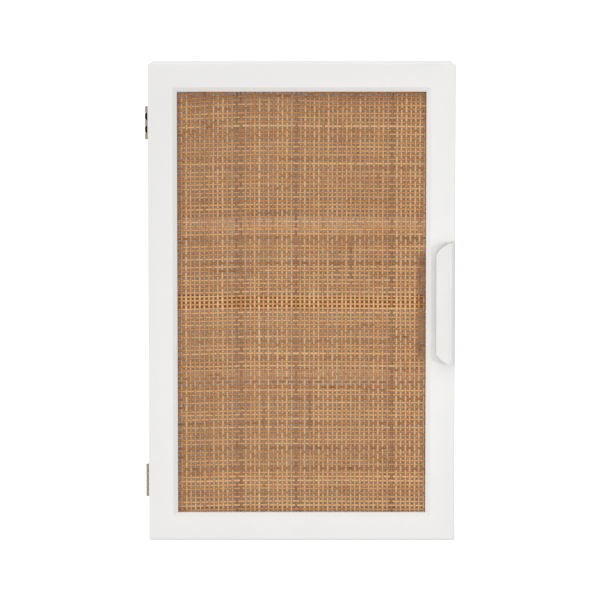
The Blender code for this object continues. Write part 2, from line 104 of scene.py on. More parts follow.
# Strand tones, from 0 (darkest) to 1 (palest)
DARK_WARPS = (0, 13, 14, 26, 47)
DARK_WEFTS = (11, 16, 22, 32, 61, 67)
DARK_TONE = 0.14
WARP_TONE = 0.66
WARP_TONE_SPREAD = 0.11
WEFT_TONE = 0.58
WEFT_TONE_SPREAD = 0.14
USUAL_TONES = (0.30, 0.95)
TONE_DRIFT_STEP = 9
TONE_DRIFT = 0.07
TONE_RIPPLE_STEP = 2
TONE_RIPPLE = 0.05
RUN_SHARE = 0.22
RUN_LENGTHS = (4, 16)
RUN_DEPTHS = (-0.25, 0.2, 0.4, 0.9)

# One strand's section: shares of its width and thickness, and how much paler it is there, a painted
# highlight along its middle and painted shade at its edges
STRAND_SECTION = (
    (-0.50, 0.10, -0.40),
    (-0.30, -0.38, -0.14),
    (0.00, -0.50, 0.30),
    (0.30, -0.38, -0.14),
    (0.50, 0.10, -0.40),
    (0.32, 0.46, -0.10),
    (-0.32, 0.46, -0.10),
)

# Painted shadow of the pull, darkening the cane beside it; the edge value is how steeply that starts
PULL_SHADOW_DARKNESS = 0.50
PULL_SHADOW_REACH = 0.022
PULL_SHADOW_FADE = 0.010
PULL_SHADOW_EDGE = 5.0

# Painted shade darkening the cane along the top and the sides of the opening, a paler band where the bar
# lies behind it, and painted light that makes the cane slightly paler towards the bottom
EDGE_SHADE = 0.42
SHADE_REACH_LEFT = 0.009
SHADE_REACH_RIGHT = 0.0012
SHADE_REACH_TOP = 0.015
BAR_BAND_PALER = 0.27
LOWER_PAINTED_LIGHT = 0.055

# Pull
PULL_LIP = 0.0035
PULL_FOOT = 0.008
PULL_END_RADIUS = 0.0225
PULL_OUTER_ROUND = 0.0075
PULL_INNER_ROUND = 0.003
PULL_LIP_ROUND = 0.0012
PULL_EDGE_SOFTNESS = 0.0005
PULL_SOFT_STEPS = 3
PULL_SOFT_ANGLE = 50
PULL_INNER_STEPS = 10
PULL_LIP_STEPS = 6
PULL_OUTER_STEPS = 18
PULL_END_STEPS = 28
TRIM_OVERLAP = 0.002

# Screws
SCREW_STEPS = 24
SHANK_SHARE = 0.476
RIM_SHARE = 1 / 6
THREAD_PITCH = 0.0008
THREAD_ROOT = 0.82
RECESS_ARM = 0.0012
RECESS_WIDTH = 0.00045
RECESS_DEPTH = 0.0006

# Camera
CAMERA_DISTANCE = 3.80
CAMERA_HEIGHT = 0.611
CAMERA_LENS = 219.0
CAMERA_AIM = 0.2541
CAMERA_SHIFT_X = -0.00275
SENSOR_WIDTH = 36.0
FAR_CLIP = 400.0

# Room light, as radiance: its mean, and how much it leans to the left and to the top
ROOM_LEVEL = 0.94
ROOM_LEFT_GAIN = 0.37
ROOM_TOP_GAIN = 0.25

# Lamps, aimed at the middle of the cabinet
LAMP_TARGET = (0, -0.08, 0.25)
SIDE_LAMP_PLACE = (1.30, -1.35, 0.22)
SIDE_LAMP_SIZE = 0.14
SIDE_LAMP_POWER = 4.9
LOW_LAMP_PLACE = (0.05, -1.05, 0.10)
LOW_LAMP_SIZE = 0.20
LOW_LAMP_POWER = 1.05

# Floor: a plain sheet that glows faintly, so that it stays white in the cabinet's shade
FLOOR_SIZE = 150.0
FLOOR_LIGHT = (0.93, 0.93, 0.93)
FLOOR_DARK = (0.91, 0.91, 0.91)
FLOOR_GLOW = 0.28
FLOOR_CLOUDS = 3.0
FLOOR_ROUGHNESS = 0.9

# Whites; the inside is a paler, cooler white than the front, painted light for its dimness behind the
# cane, and glows faintly for the many bounces that light makes there
FRONT_WHITE = (0.745, 0.74, 0.728)
PULL_WHITE = (0.695, 0.69, 0.677)
SIDE_WHITE = (0.80, 0.80, 0.79)
INSIDE_WHITE_PAINTED_LIGHT = (0.865, 0.87, 0.87)
INSIDE_GLOW = 0.040
GLOW_COLOUR = (0.80, 0.92, 1.0)

# Roughness of each finish
PAINT_ROUGHNESS = 0.42
BACK_ROUGHNESS = 0.55
SHELF_ROUGHNESS = 0.50
PULL_ROUGHNESS = 0.38
NICKEL_ROUGHNESS = 0.36
BARREL_BLACK_ROUGHNESS = 0.40
STEEL_ROUGHNESS = 0.35
MAGNET_ROUGHNESS = 0.42
PLASTIC_ROUGHNESS = 0.42
RUBBER_ROUGHNESS = 0.58

# Where most of a noise's values lie, which spread() maps onto its whole range
NOISE_LOW = 0.3
NOISE_HIGH = 0.7

# Textures. A scale is a noise's features to the metre, a stretch shrinks it along one axis, a share is how
# far the second tone shows, a gloss is the range of roughness, and a bump is a strength and a depth
PAINT_SHADE = 0.955
PAINT_CLOUD_SCALE = 9.0
PAINT_CLOUD_SHARE = 0.7
PAINT_SPECK_SCALE = 120.0
PAINT_SPECK_SHARE = 0.25
PAINT_GLOSS_SCALE = 35.0
PAINT_GLOSS = (-0.06, 0.08)
PAINT_WAVE_SCALE = 18.0
PAINT_WAVE_BUMP = (0.12, 0.0006)
PAINT_SKIN_SCALE = 950.0
PAINT_SKIN_BUMP = (0.10, 0.00006)

FIBRE_SCALE = 2600.0
FIBRE_STRETCH = 0.05
FIBRE_SHARE = 0.45
FIBRE_BUMP = (0.35, 0.00010)
PATCH_SCALE = 160.0
PATCH_STRETCH = 0.4
PATCH_SHARE = 0.20
PATCH_BUMP = (0.2, 0.0002)
CANE_GLOSS = (0.38, 0.62)
CANE_SPECULAR = 0.25

GRAIN_SCALE = 420.0
GRAIN_STRETCH = 0.04
GRAIN_BUMP = (0.25, 0.0001)
PORE_SCALE = 2600.0
PORE_STRETCH = 0.05
PORE_SHARE = 0.3
PORE_BUMP = (0.2, 0.00005)
WOOD_GLOSS = (0.55, 0.72)

BRUSH_SCALE = 3000.0
BRUSH_STRETCH = 0.04
BRUSH_BUMP = (0.2, 0.00003)
DULL_SCALE = 220.0
DULL_SHARE = 0.6
DULL_BUMP = (0.1, 0.00008)
METAL_GLOSS = (-0.08, 0.12)

MOULDED_SHADE = 0.9
MOULDED_SCALE = 300.0
MOULDED_SHARE = 0.6
MOULDED_GLOSS_SCALE = 90.0
MOULDED_GLOSS = (-0.05, 0.08)
SPARK_SCALE = 2400.0
SPARK_BUMP = (0.25, 0.00005)

# Other finishes: a light and a dark tone each
BAR_LIGHT = (0.30, 0.15, 0.09)
BAR_DARK = (0.16, 0.07, 0.04)
STEEL = (0.62, 0.60, 0.57)
STEEL_DULL = (0.45, 0.43, 0.40)
MAGNET = (0.42, 0.42, 0.43)
MAGNET_DULL = (0.30, 0.30, 0.31)
PLASTIC = (0.80, 0.80, 0.78)
RUBBER = (0.72, 0.72, 0.70)

# Cane skin from the darkest tone to the palest, and the colours of its fibres and its pale patches
CANE_STOPS = (
    (0.00, (0.12, 0.033, 0.006)),
    (0.25, (0.27, 0.082, 0.011)),
    (0.50, (0.405, 0.155, 0.032)),
    (0.75, (0.530, 0.268, 0.091)),
    (1.00, (0.76, 0.490, 0.240)),
)
CANE_FIBRE = (0.38, 0.135, 0.026)
CANE_PATCH = (0.80, 0.50, 0.22)

# Hinge plating, and the barrel's width, which is painted nearly black: on the pins as painted shade in the
# gaps between knuckles, and on the upper door leaf's knuckles
NICKEL = (0.37, 0.30, 0.235)
NICKEL_DULL = (0.22, 0.17, 0.13)
BARREL_BLACK_SHADE = (0.028, 0.022, 0.019)
BARREL_BLACK_EDGE = 0.0006
BARREL_WIDTH = 0.0040

rng = random.Random(SEED)


# ---------------------------------------------------------------- materials


class Nodes:
    """Short calls for building one material's node tree."""

    def __init__(self, name):
        self.material = bpy.data.materials.new(name)
        self.material.use_nodes = True
        self.tree = self.material.node_tree
        self.shader = self.tree.nodes["Principled BSDF"]

    def add(self, kind, **inputs):
        node = self.tree.nodes.new(kind)
        for key, value in inputs.items():
            node.inputs[key.replace("_", " ")].default_value = value
        return node

    def link(self, source, target):
        self.tree.links.new(source, target)

    def coords(self, scale=(1, 1, 1)):
        where = self.add("ShaderNodeTexCoord")
        mapping = self.add("ShaderNodeMapping", Scale=scale)
        self.link(where.outputs["Object"], mapping.inputs["Vector"])
        return mapping.outputs["Vector"]

    def noise(self, scale, detail=3.0, roughness=0.5, stretch=(1, 1, 1)):
        made = self.add("ShaderNodeTexNoise", Scale=scale, Detail=detail, Roughness=roughness)
        self.link(self.coords(stretch), made.inputs["Vector"])
        return made.outputs["Fac"]

    def spread(self, value, low, high):
        """Maps a 0 to 1 value, mostly near its middle, onto low to high."""
        made = self.add("ShaderNodeMapRange")
        made.inputs["From Min"].default_value = NOISE_LOW
        made.inputs["From Max"].default_value = NOISE_HIGH
        made.inputs["To Min"].default_value = low
        made.inputs["To Max"].default_value = high
        self.link(value, made.inputs["Value"])
        return made.outputs["Result"]

    def ramp(self, value, stops):
        made = self.add("ShaderNodeValToRGB")
        band = made.color_ramp
        while len(band.elements) < len(stops):
            band.elements.new(0.5)
        for element, (place, colour) in zip(band.elements, stops):
            element.position = place
            element.color = (*colour, 1.0)
        self.link(value, made.inputs["Fac"])
        return made.outputs["Color"]

    def mix(self, factor, first, second):
        made = self.tree.nodes.new("ShaderNodeMix")
        made.data_type = "RGBA"
        for value, socket in ((factor, 0), (first, 6), (second, 7)):
            if isinstance(value, (int, float)):
                made.inputs[socket].default_value = value
            elif isinstance(value, tuple):
                made.inputs[socket].default_value = (*value, 1.0)
            else:
                self.link(value, made.inputs[socket])
        return made.outputs[2]

    def times(self, first, second):
        made = self.tree.nodes.new("ShaderNodeMath")
        made.operation = "MULTIPLY"
        for socket, value in enumerate((first, second)):
            if isinstance(value, (int, float)):
                made.inputs[socket].default_value = value
            else:
                self.link(value, made.inputs[socket])
        return made.outputs[0]

    def bump(self, layers):
        """layers: (height, strength, distance), stacked one on the next."""
        last = None
        for height, strength, distance in layers:
            made = self.add("ShaderNodeBump", Strength=strength, Distance=distance)
            self.link(height, made.inputs["Height"])
            if last is not None:
                self.link(last, made.inputs["Normal"])
            last = made.outputs["Normal"]
        self.link(last, self.shader.inputs["Normal"])

    def set(self, name, value):
        socket = self.shader.inputs[name]
        if isinstance(value, (int, float)):
            socket.default_value = value
        elif isinstance(value, tuple):
            socket.default_value = (*value, 1.0)
        else:
            self.link(value, socket)


def shifted(roughness, gloss):
    """The range of roughness round a finish's own."""
    return roughness + gloss[0], roughness + gloss[1]


def paint(name, colour, roughness=PAINT_ROUGHNESS, glow=0.0):
    """Rolled satin paint: faint mottling, a fine uneven skin, and a slightly uneven gloss."""
    n = Nodes(name)
    n.set("Emission Color", GLOW_COLOUR)
    n.set("Emission Strength", glow)
    shade = tuple(c * PAINT_SHADE for c in colour)
    clouds = n.spread(n.noise(PAINT_CLOUD_SCALE, 2.0), 0.0, 1.0)
    specks = n.spread(n.noise(PAINT_SPECK_SCALE, 3.0), 0.0, 1.0)
    tone = n.mix(n.times(clouds, PAINT_CLOUD_SHARE), colour, shade)
    n.set("Base Color", n.mix(n.times(specks, PAINT_SPECK_SHARE), tone, shade))
    patches = n.noise(PAINT_GLOSS_SCALE, 3.0)
    n.set("Roughness", n.spread(patches, *shifted(roughness, PAINT_GLOSS)))
    n.bump(
        [
            (n.noise(PAINT_WAVE_SCALE, 2.0), *PAINT_WAVE_BUMP),
            (n.noise(PAINT_SKIN_SCALE, 2.0), *PAINT_SKIN_BUMP),
        ]
    )
    return n.material


def cane(name, along_x):
    """Split cane: each place's own tone, which carries painted highlight, shade and shadow too, fibres
    along the strand, and paler, duller patches.
    """
    n = Nodes(name)
    tone = n.add("ShaderNodeAttribute")
    tone.attribute_name = "tone"
    fibre = n.noise(FIBRE_SCALE, 4.0, 0.6, along_strand(FIBRE_STRETCH, along_x))
    patch = n.noise(PATCH_SCALE, 3.0, 0.6, along_strand(PATCH_STRETCH, along_x))
    base = n.ramp(tone.outputs["Fac"], CANE_STOPS)
    streaked = n.mix(n.spread(fibre, 0.0, FIBRE_SHARE), base, CANE_FIBRE)
    n.set("Base Color", n.mix(n.spread(patch, 0.0, PATCH_SHARE), streaked, CANE_PATCH))
    n.set("Roughness", n.spread(patch, *CANE_GLOSS))
    n.set("Specular IOR Level", CANE_SPECULAR)
    n.bump([(fibre, *FIBRE_BUMP), (patch, *PATCH_BUMP)])
    return n.material


def along_strand(stretch, along_x):
    """A noise's scale, stretched along X for a weft or along Z for a warp."""
    return (stretch, 1, 1) if along_x else (1, 1, stretch)


def bare_wood(name, light, dark):
    """Planed wood with its grain along X: long streaks and fine pores."""
    n = Nodes(name)
    grain = n.noise(GRAIN_SCALE, 4.0, 0.6, (GRAIN_STRETCH, 1, 1))
    pores = n.noise(PORE_SCALE, 2.0, 0.5, (PORE_STRETCH, 1, 1))
    tone = n.mix(n.spread(grain, 0.0, 1.0), light, dark)
    n.set("Base Color", n.mix(n.spread(pores, 0.0, PORE_SHARE), tone, dark))
    n.set("Roughness", n.spread(grain, *WOOD_GLOSS))
    n.bump([(grain, *GRAIN_BUMP), (pores, *PORE_BUMP)])
    return n.material


def metal(name, colour, dark, roughness, black_below_x=None):
    """Satin plated metal: brushed grain with duller, darker patches.

    Where X is less than the given limit, if any, the metal is painted nearly black; on the hinge pins that
    is painted shade in the knuckle gaps.
    """
    n = Nodes(name)
    brush = n.noise(BRUSH_SCALE, 3.0, 0.6, (1, 1, BRUSH_STRETCH))
    patch = n.noise(DULL_SCALE, 4.0, 0.6)
    tone = n.mix(n.spread(patch, 0.0, DULL_SHARE), colour, dark)
    if black_below_x is not None:
        place = n.add("ShaderNodeSeparateXYZ")
        n.link(n.coords(), place.inputs["Vector"])
        blackened = n.add("ShaderNodeMapRange")
        blackened.inputs["From Min"].default_value = black_below_x
        blackened.inputs["From Max"].default_value = black_below_x + BARREL_BLACK_EDGE
        blackened.inputs["To Min"].default_value = 1.0
        blackened.inputs["To Max"].default_value = 0.0
        n.link(place.outputs["X"], blackened.inputs["Value"])
        tone = n.mix(blackened.outputs["Result"], tone, BARREL_BLACK_SHADE)
    n.set("Base Color", tone)
    n.set("Metallic", 1.0)
    n.set("Roughness", n.spread(brush, *shifted(roughness, METAL_GLOSS)))
    n.bump([(brush, *BRUSH_BUMP), (patch, *DULL_BUMP)])
    return n.material


def moulded(name, colour, roughness):
    """Moulded plastic or rubber with a fine spark-eroded texture."""
    n = Nodes(name)
    shade = tuple(c * MOULDED_SHADE for c in colour)
    mottle = n.noise(MOULDED_SCALE, 3.0)
    n.set("Base Color", n.mix(n.spread(mottle, 0.0, MOULDED_SHARE), colour, shade))
    patches = n.noise(MOULDED_GLOSS_SCALE, 2.0)
    n.set("Roughness", n.spread(patches, *shifted(roughness, MOULDED_GLOSS)))
    n.bump([(n.noise(SPARK_SCALE, 2.0), *SPARK_BUMP)])
    return n.material


def floor_finish():
    """A matt white floor with a faint mottling and a faint glow."""
    n = Nodes("studio_floor")
    clouds = n.spread(n.noise(FLOOR_CLOUDS, 2.0), 0.0, 1.0)
    n.set("Base Color", n.mix(clouds, FLOOR_LIGHT, FLOOR_DARK))
    n.set("Roughness", FLOOR_ROUGHNESS)
    n.set("Emission Color", (1.0, 1.0, 1.0))
    n.set("Emission Strength", FLOOR_GLOW)
    return n.material


# ---------------------------------------------------------------- shapes


def fillet(outline):
    """Rounds the corners of a closed outline; outline holds (x, y, radius)."""
    points = []
    count = len(outline)
    for i, (x, y, radius) in enumerate(outline):
        here = Vector((x, y))
        if radius == 0:
            points.append((x, y))
            continue
        back = (Vector(outline[i - 1][:2]) - here).normalized()
        ahead = (Vector(outline[(i + 1) % count][:2]) - here).normalized()
        half = back.angle(ahead) / 2
        centre = here + (back + ahead).normalized() * radius / math.sin(half)
        first = here + back * radius / math.tan(half) - centre
        last = here + ahead * radius / math.tan(half) - centre
        turn = first.angle(last)
        for k in range(ROUND_STEPS + 1):
            t = k / ROUND_STEPS
            a = math.sin((1 - t) * turn) / math.sin(turn)
            b = math.sin(t * turn) / math.sin(turn)
            spot = centre + first * a + last * b
            points.append((spot.x, spot.y))
    return points


def arc(centre, radius, start, end, steps):
    """Points along an arc, from one angle to another, in degrees."""
    points = []
    for i in range(steps + 1):
        angle = math.radians(start + (end - start) * i / steps)
        points.append((centre[0] + radius * math.cos(angle), centre[1] + radius * math.sin(angle)))
    return points


def mesh_object(name, bm, material, smooth_angle=USUAL_SMOOTH):
    """A new object with the mesh's shape, smooth except at edges sharper than the angle."""
    mesh = bpy.data.meshes.new(name)
    bm.to_mesh(mesh)
    bm.free()
    mesh.shade_smooth()
    mesh.set_sharp_from_angle(angle=math.radians(smooth_angle))
    mesh.materials.append(material)
    made = bpy.data.objects.new(name, mesh)
    bpy.context.scene.collection.objects.link(made)
    return made


def door_frame(material):
    """The four members as one painted frame: a section carried round the door, mitred at its corners."""
    low, high = door_box()
    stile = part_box("door_left_stile")
    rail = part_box("door_top_rail")
    stile_width = stile[1].x - stile[0].x
    rail_width = rail[1].z - rail[0].z
    thickness = high.y - low.y
    flat = stile_width * FLAT_SHARE
    rebate = stile_width * REBATE_SHARE
    section = fillet(
        [
            (0, 0, FACE_ROUND),
            (flat, 0, CHAMFER_ROUND),
            (stile_width, CHAMFER_DEPTH, INNER_ROUND),
            (stile_width, CANE_DEPTH, LIP_ROUND),
            (rebate, CANE_DEPTH, 0),
            (rebate, thickness, REBATE_ROUND),
            (0, thickness, BACK_ROUND),
        ]
    )
    bm = bmesh.new()
    rings = []
    for side_x, side_z in ((-1, -1), (1, -1), (1, 1), (-1, 1)):
        corner_x = low.x if side_x < 0 else high.x
        corner_z = low.z if side_z < 0 else high.z
        ring = []
        for inset, depth in section:
            x = corner_x - side_x * inset
            z = corner_z - side_z * inset * rail_width / stile_width
            ring.append(bm.verts.new((x, low.y + depth, z)))
        rings.append(ring)
    for i, ring in enumerate(rings):
        join_rings(bm, ring, rings[(i + 1) % len(rings)])
    bmesh.ops.recalc_face_normals(bm, faces=bm.faces)
    made = mesh_object("painted_door_frame", bm, material, FRAME_SMOOTH)
    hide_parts("door_left_stile", "door_right_stile", "door_top_rail", "door_bottom_rail")
    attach(made, "door")


def door_box():
    """The lowest and the highest corner of the door's four members together."""
    names = ("door_left_stile", "door_right_stile", "door_top_rail", "door_bottom_rail")
    boxes = [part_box(name) for name in names]
    low = Vector([min(b[0][i] for b in boxes) for i in range(3)])
    high = Vector([max(b[1][i] for b in boxes) for i in range(3)])
    return low, high


def wander(count, step, size):
    """A slow random drift, as a list of offsets that change gently from one place to the next."""
    knots = [rng.gauss(0, size) for _ in range(count // step + 3)]
    values = []
    for i in range(count):
        place = i / step
        k = int(place)
        t = place - k
        t = t * t * (3 - 2 * t)
        values.append(knots[k] * (1 - t) + knots[k + 1] * t)
    return values


def strand_tones(count, length, darker, usual, spread):
    """One tone per crossing along each strand: its own, drifting, with a few dark or pale runs."""
    rows = []
    for number in range(count):
        own = min(max(rng.gauss(usual, spread), USUAL_TONES[0]), USUAL_TONES[1])
        if number in darker:
            own = DARK_TONE
        drift = wander(length, TONE_DRIFT_STEP, TONE_DRIFT)
        ripple = wander(length, TONE_RIPPLE_STEP, TONE_RIPPLE)
        tones = [own + drift[i] + ripple[i] for i in range(length)]
        if rng.random() < RUN_SHARE:
            start = rng.randrange(length)
            run = rng.randrange(*RUN_LENGTHS)
            depth = rng.choice(RUN_DEPTHS)
            for i in range(start, min(start + run, length)):
                tones[i] -= depth * math.sin(math.pi * (i - start + 0.5) / run)
        rows.append([min(max(t, 0.0), 1.0) for t in tones])
    return rows


def weave(panel_low, panel_high, opening):
    """Two layers of flat strands, over one and under one, with the small drifts of hand-fed cane."""
    x0 = opening[0].x + FIRST_WARP
    first_k = -math.ceil((x0 - opening[0].x + WEAVE_MARGIN) / WARP_PITCH) + 1
    last_k = math.floor((opening[1].x + WEAVE_MARGIN - x0) / WARP_PITCH)
    rows = int((opening[1].z - opening[0].z + 2 * WEAVE_MARGIN) / WEFT_PITCH)
    z0 = opening[0].z - WEAVE_MARGIN + WEFT_PITCH / 2
    columns = last_k - first_k + 1
    x_first = x0 + first_k * WARP_PITCH
    middle = (panel_low.y + panel_high.y) / 2

    warp_jitter = [rng.gauss(0, WARP_JITTER) for _ in range(columns)]
    weft_jitter = [rng.gauss(0, WEFT_JITTER) for _ in range(rows)]
    warp_drift = [wander(rows, WARP_DRIFT_STEP, WARP_DRIFT) for _ in range(columns)]
    weft_drift = [wander(columns, WEFT_DRIFT_STEP, WEFT_DRIFT) for _ in range(rows)]
    sway = wander(rows, SWAY_STEP, SWAY)
    sag = wander(columns, SAG_STEP, SAG)
    ripple = wander(columns, TOP_RIPPLE_STEP, TOP_RIPPLE)

    def crossing(j, k):
        x = x_first + k * WARP_PITCH + warp_jitter[k] + warp_drift[k][j] + sway[j]
        z = z0 + j * WEFT_PITCH + weft_jitter[j] + weft_drift[j][k] + sag[k]
        z += ripple[k] * math.exp((j - rows) / TOP_RIPPLE_ROWS)
        return x, z

    warps = []
    for k in range(columns):
        path = [(*crossing(j, k), WEAVE_RISE if (j + k) % 2 else -WEAVE_RISE) for j in range(rows)]
        warps.append(path)
    wefts = []
    for j in range(rows):
        path = [(*crossing(j, k), -WEAVE_RISE if (j + k) % 2 else WEAVE_RISE) for k in range(columns)]
        wefts.append(path)
    warp_tones = strand_tones(columns, rows, DARK_WARPS, WARP_TONE, WARP_TONE_SPREAD)
    weft_tones = strand_tones(rows, columns, DARK_WEFTS, WEFT_TONE, WEFT_TONE_SPREAD)
    made = strands("cane_warp_strands", warps, warp_tones, middle, WARP_WIDTH, False, opening)
    strands("cane_weft_strands", wefts, weft_tones, middle, WEFT_WIDTH, True, opening)
    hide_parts("cane_panel")


def strands(name, paths, tones, middle, width, along_x, opening):
    """Flat strands with a rounded skin, each swept along its own path of (x, z, rise)."""
    bm = bmesh.new()
    # the tone layer holds each place's tone together with its painted highlight, shade and shadow
    layer = bm.verts.layers.float.new("tone")
    pull_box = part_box("pull")
    bar_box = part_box("door_mid_rail")
    for path, tone in zip(paths, tones):
        own_width = width * rng.gauss(1.0, WIDTH_SPREAD)
        swell = wander(len(path), SWELL_STEP, SWELL_SPREAD)
        previous = None
        for i, (x, z, rise) in enumerate(path):
            places = [(x, z, rise, tone[i])]
            if i + 1 < len(path):
                next_x, next_z, _ = path[i + 1]
                between = (tone[i] + tone[i + 1]) / 2
                places.append(((x + next_x) / 2, (z + next_z) / 2, 0.0, between))
            for px, pz, lift, shade in places:
                shade += local_light_and_tone(px, pz, opening, pull_box, bar_box)
                ring = []
                # the section's last column paints a highlight along the strand's middle and shade at its
                # edges
                for across, through, paler in STRAND_SECTION:
                    side = across * own_width * (1 + swell[i])
                    y = middle + lift + through * STRAND_THICKNESS
                    spot = (px, y, pz + side) if along_x else (px + side, y, pz)
                    vertex = bm.verts.new(spot)
                    vertex[layer] = min(max(shade + paler, 0.0), 1.0)
                    ring.append(vertex)
                if previous is None:
                    bm.faces.new(ring)
                else:
                    join_rings(bm, previous, ring)
                previous = ring
        bm.faces.new(list(reversed(previous)))
    bmesh.ops.recalc_face_normals(bm, faces=bm.faces)
    made = mesh_object(name, bm, cane(name + "_skin", along_x), STRAND_SMOOTH)
    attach(made, "door")
    return made


def join_rings(bm, first, second):
    """Faces between two closed rings with the same number of vertices."""
    for i in range(len(first)):
        j = (i + 1) % len(first)
        bm.faces.new((first[i], first[j], second[j], second[i]))


def local_light_and_tone(x, z, opening, pull_box, bar_box):
    """How much paler the cane is at a place: painted light towards the bottom, the pull's painted shadow,
    painted shade along the edges, and the paler band over the bar.
    """
    low, high = opening
    # painted light: the cane slightly paler towards the bottom
    tone = LOWER_PAINTED_LIGHT * (high.z - z) / (high.z - low.z)
    # painted shadow of the pull on the cane beside it
    tone -= PULL_SHADOW_DARKNESS * painted_pull_shadow(x, z, *pull_box)
    # painted shade along the opening's edges
    tone -= EDGE_SHADE * painted_edge_shade(x, z, low, high)
    if bar_box[0].z < z < bar_box[1].z:
        tone += BAR_BAND_PALER
    return tone


def painted_pull_shadow(x, z, low, high):
    """How much painted shadow of the pull lies on the cane: 1 beside the pull, fading to 0 away from its
    box.
    """
    beside = (x - low.x) / PULL_SHADOW_REACH + 1
    below = (z - low.z) / PULL_SHADOW_FADE
    above = (high.z - z) / PULL_SHADOW_FADE - 1
    return min(max(min(PULL_SHADOW_EDGE * beside, below, above), 0.0), 1.0)


def painted_edge_shade(x, z, low, high):
    """How much painted shade lies on the cane along the opening's edges: 1 at the edge, fading to 0
    inwards.
    """
    left = 1 - (x - low.x) / SHADE_REACH_LEFT
    right = 1 - (high.x - x) / SHADE_REACH_RIGHT
    top = 1 - (high.z - z) / SHADE_REACH_TOP
    return min(max(left, right, top, 0.0), 1.0)


def prism(bm, outline, low, high):
    """Extrudes an outline in XY from one height to another."""
    bottom = [bm.verts.new((x, y, low)) for x, y in outline]
    face = bm.faces.new(bottom)
    swept = bmesh.ops.extrude_face_region(bm, geom=[face])
    top = [item for item in swept["geom"] if isinstance(item, bmesh.types.BMVert)]
    bmesh.ops.translate(bm, verts=top, vec=(0, 0, high - low))
    bmesh.ops.recalc_face_normals(bm, faces=bm.faces)


def pull(material):
    """The half-moon pull: a hooked section along Z, cut to a rounded outline, with softened rims."""
    low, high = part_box("pull")
    width = high.x - low.x
    half = (high.z - low.z) / 2
    projection = high.y - low.y
    front = -projection
    lip_back = front + PULL_LIP
    section = [(0.0, 0.0), (-PULL_FOOT, 0.0)]
    inner = (-PULL_FOOT - PULL_INNER_ROUND, lip_back + PULL_INNER_ROUND)
    lip_x = PULL_LIP_ROUND - width
    outer = (-PULL_OUTER_ROUND, front + PULL_OUTER_ROUND)
    section += arc(inner, PULL_INNER_ROUND, 0, -90, PULL_INNER_STEPS)
    section += arc((lip_x, lip_back - PULL_LIP_ROUND), PULL_LIP_ROUND, 90, 180, PULL_LIP_STEPS)
    section += arc((lip_x, front + PULL_LIP_ROUND), PULL_LIP_ROUND, 180, 270, PULL_LIP_STEPS)
    section += arc(outer, PULL_OUTER_ROUND, 270, 360, PULL_OUTER_STEPS)
    bm = bmesh.new()
    prism(bm, section, -half, half)
    made = mesh_object("pull_shell", bm, material, TURNED_SMOOTH)
    made.location = (high.x, high.y, (low.z + high.z) / 2)

    radius = PULL_END_RADIUS
    corner = math.degrees(math.acos(-width / radius))
    moon = [(TRIM_OVERLAP, -half), (TRIM_OVERLAP, half)]
    moon += arc((0, half - radius), radius, 90, corner, PULL_END_STEPS)
    moon += arc((0, radius - half), radius, 360 - corner, 270, PULL_END_STEPS)
    bm = bmesh.new()
    prism(bm, moon, -2 * projection, 2 * projection)
    trimmer = mesh_object("pull_trimmer", bm, material)
    trimmer.rotation_euler = (math.pi / 2, 0, 0)
    trimmer.location = made.location
    trim = made.modifiers.new("trim", "BOOLEAN")
    trim.operation = "INTERSECT"
    trim.object = trimmer
    soft = made.modifiers.new("soft", "BEVEL")
    soft.width = PULL_EDGE_SOFTNESS
    soft.segments = PULL_SOFT_STEPS
    soft.limit_method = "ANGLE"
    soft.angle_limit = math.radians(PULL_SOFT_ANGLE)
    bake_modifiers(made)
    bpy.data.objects.remove(trimmer)
    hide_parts("pull")
    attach(made, "door")


def bake_modifiers(made):
    """Replaces an object's mesh by what its modifiers make of it."""
    bpy.context.view_layer.update()
    depsgraph = bpy.context.evaluated_depsgraph_get()
    mesh = bpy.data.meshes.new_from_object(made.evaluated_get(depsgraph), depsgraph=depsgraph)
    made.modifiers.clear()
    made.data = mesh
    mesh.shade_smooth()
    mesh.set_sharp_from_angle(angle=math.radians(BAKED_SMOOTH))


def cross_outline():
    """The plus-shaped outline of a screw's recess."""
    corner = RECESS_WIDTH / 2
    quarter = [(RECESS_ARM, -corner), (RECESS_ARM, corner), (corner, corner)]
    points = []
    for turn in range(4):
        c, s = math.cos(turn * math.pi / 2), math.sin(turn * math.pi / 2)
        points += [(x * c - y * s, x * s + y * c) for x, y in quarter]
    return points


def screw_shape(length, head_radius, material):
    """A countersunk screw with a cross recess, its head's flat at Z 0 and its point below."""
    shank = head_radius * SHANK_SHARE
    depth = head_radius - shank
    rim = depth * RIM_SHARE
    profile = [(0.0, 0.0), (head_radius - rim, 0.0), (head_radius, -rim), (shank, -depth)]
    turns = int((length - depth - shank) / THREAD_PITCH)
    for turn in range(turns):
        top = -depth - turn * THREAD_PITCH
        profile += [(shank * THREAD_ROOT, top - THREAD_PITCH / 4), (shank, top - THREAD_PITCH)]
    profile += [(0.0, -length)]
    bm = bmesh.new()
    line = [bm.verts.new((radius, 0, z)) for radius, z in profile]
    edges = [bm.edges.new(pair) for pair in zip(line, line[1:])]
    bmesh.ops.spin(
        bm,
        geom=line + edges,
        axis=(0, 0, 1),
        cent=(0, 0, 0),
        angle=2 * math.pi,
        steps=SCREW_STEPS,
    )
    bmesh.ops.remove_doubles(bm, verts=bm.verts, dist=WELD)
    bmesh.ops.recalc_face_normals(bm, faces=bm.faces)
    made = mesh_object("screw", bm, material, TURNED_SMOOTH)
    bm = bmesh.new()
    prism(bm, cross_outline(), -RECESS_DEPTH, RECESS_DEPTH)
    recess = mesh_object("screw_recess", bm, material)
    trim = made.modifiers.new("recess", "BOOLEAN")
    trim.object = recess
    bake_modifiers(made)
    bpy.data.objects.remove(recess)
    mesh = made.data
    bpy.data.objects.remove(made)
    return mesh


